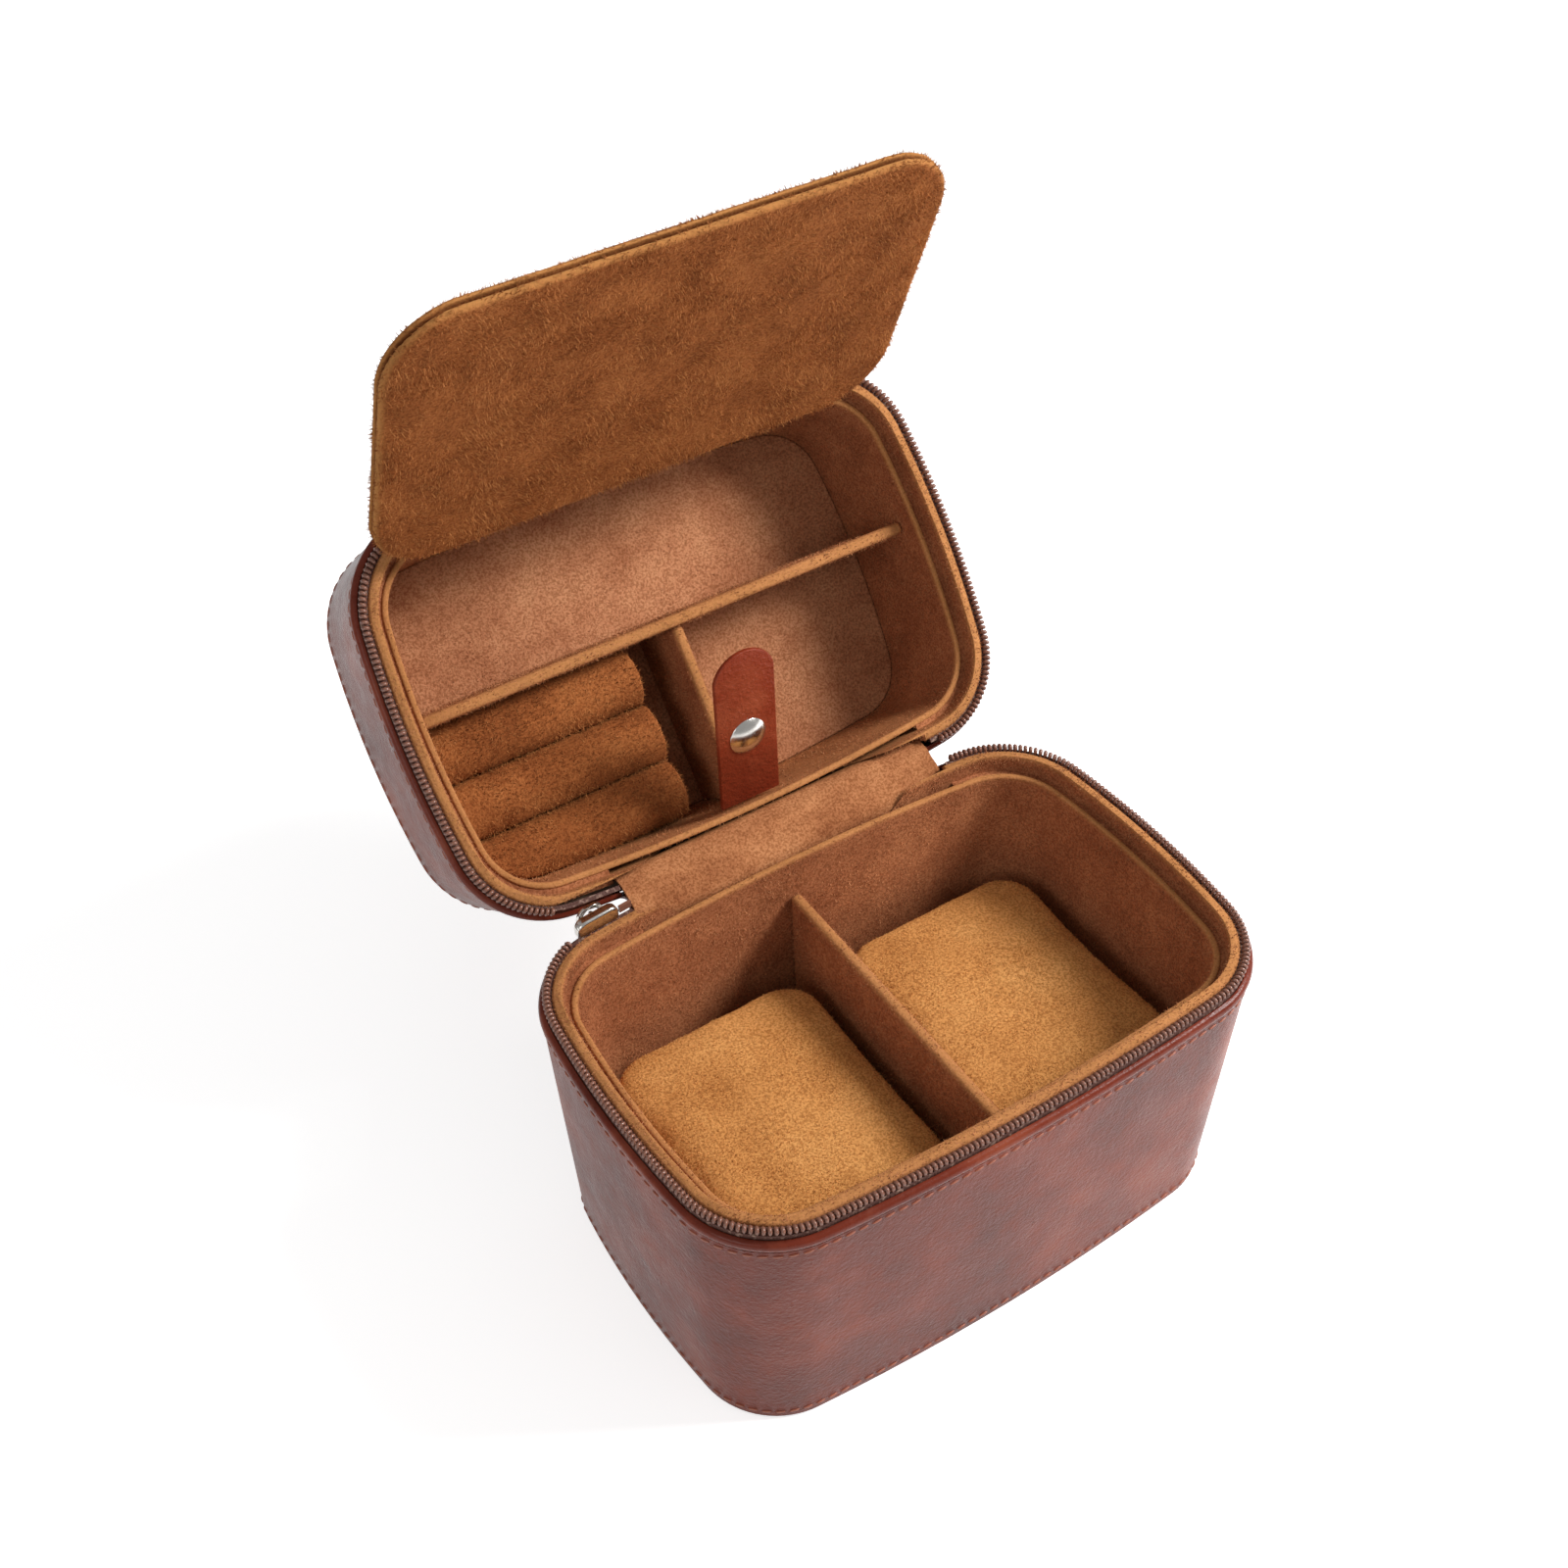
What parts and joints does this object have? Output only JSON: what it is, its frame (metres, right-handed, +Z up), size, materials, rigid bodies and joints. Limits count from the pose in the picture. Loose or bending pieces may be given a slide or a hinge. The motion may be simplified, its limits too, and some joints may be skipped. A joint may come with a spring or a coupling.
{
  "type": "leather jewellery case",
  "caption": "Zip-around leather jewellery case with a hinged lid, a padded flap and snap tab in the lid, ring rolls, dividers and lift-out watch cushions.",
  "frame": {"origin": "centre of the flat bottom face", "axes": "+Z up, -Y the front, +Y the hinge side, +X to the right seen from the front"},
  "size_m": [0.1506, 0.1963, 0.2178],
  "materials": {
    "case_leather": "fine grained brown leather with a soft sheen",
    "binding_leather": "smooth red-brown leather edge",
    "tab_leather": "red-brown leather with pores",
    "board": "grey board",
    "lining_suede": "short napped suede cloth",
    "cushion_suede": "golden tan suede cloth",
    "flap_suede": "plush napped suede cloth",
    "zip_tape": "woven dark brown tape",
    "zip_coil": "dark brown coil",
    "nickel": "bright nickel plate"
  },
  "bodies": {
    "base": {"base_bottom_leather": "case_leather", "base_bottom_board": "board", "base_wall_leather": "case_leather", "base_rim_binding": "binding_leather", "base_wall_board": "board", "base_zip_tape": "zip_tape", "base_zip_coil": "zip_coil", "base_collar": "lining_suede", "base_tray_wall": "lining_suede", "base_floor_pad": "lining_suede", "base_divider": "lining_suede", "zip_chain_end": "zip_coil"},
    "hinge": {"hinge_leather": "case_leather", "hinge_lining": "lining_suede"},
    "lid": {"lid_top_leather": "case_leather", "lid_top_board": "board", "lid_wall_leather": "case_leather", "lid_rim_binding": "binding_leather", "lid_wall_board": "board", "lid_zip_tape": "zip_tape", "lid_zip_coil": "zip_coil", "lid_collar": "lining_suede", "lid_tray_wall": "lining_suede", "lid_floor_pad": "lining_suede", "lid_long_divider": "lining_suede", "lid_short_divider": "lining_suede", "ring_roll_1": "lining_suede", "ring_roll_2": "lining_suede", "ring_roll_3": "lining_suede", "flap_hinge_strip": "flap_suede"},
    "flap": {"flap_inner_pad": "flap_suede", "flap_board": "board", "flap_outer_pad": "flap_suede", "flap_snap_patch": "tab_leather", "flap_snap_stud": "nickel"},
    "tab": {"snap_tab": "tab_leather", "snap_cap": "nickel", "snap_socket": "nickel"},
    "slider": {"zip_slider": "nickel", "zip_slider_bail": "nickel"},
    "pull": {"zip_pull": "nickel"},
    "cushion_left": {"watch_cushion_left": "cushion_suede"},
    "cushion_right": {"watch_cushion_right": "cushion_suede"}
  },
  "joints": [
    {"name": "lower_crease", "type": "hinge", "parent": "base", "child": "hinge", "pos_m": [0, 0.0498, 0.0752], "axis": [-1, 0, 0], "range_deg": [-50, 4], "deforming": ["hinge_leather", "hinge_lining"]},
    {"name": "upper_crease", "type": "hinge", "parent": "hinge", "child": "lid", "pos_m": [0, 0.0498, 0.0752], "axis": [-1, 0, 0], "range_deg": [-81, 5], "deforming": ["hinge_leather", "hinge_lining"]},
    {"name": "flap_hinge", "type": "hinge", "parent": "lid", "child": "flap", "pos_m": [0, 0.10949, 0.14296], "axis": [-1, 0, 0], "range_deg": [-117, 8], "deforming": ["flap_hinge_strip"]},
    {"name": "tab_hinge", "type": "hinge", "parent": "lid", "child": "tab", "pos_m": [0, 0.06075, 0.07682], "axis": [1, 0, 0], "range_deg": [-41.6, 3]},
    {"name": "zip_slide", "type": "slide", "parent": "base", "child": "slider", "axis": [0.9964, 0.0852, 0], "range_m": [0, 0.0035]},
    {"name": "pull_swing", "type": "hinge", "parent": "slider", "child": "pull", "pos_m": [-0.04983, 0.05006, 0.0752], "axis": [0.9964, 0.0852, 0], "range_deg": [0, 20]},
    {"name": "cushion_left_lift", "type": "slide", "parent": "base", "child": "cushion_left", "axis": [0, 0, 1], "range_m": [0, 0.07]},
    {"name": "cushion_right_lift", "type": "slide", "parent": "base", "child": "cushion_right", "axis": [0, 0, 1], "range_m": [0, 0.07]}
  ],
  "couplings": [
    {"joint": "tab_hinge", "follows": "flap_hinge", "ratio": 0.3547}
  ]
}
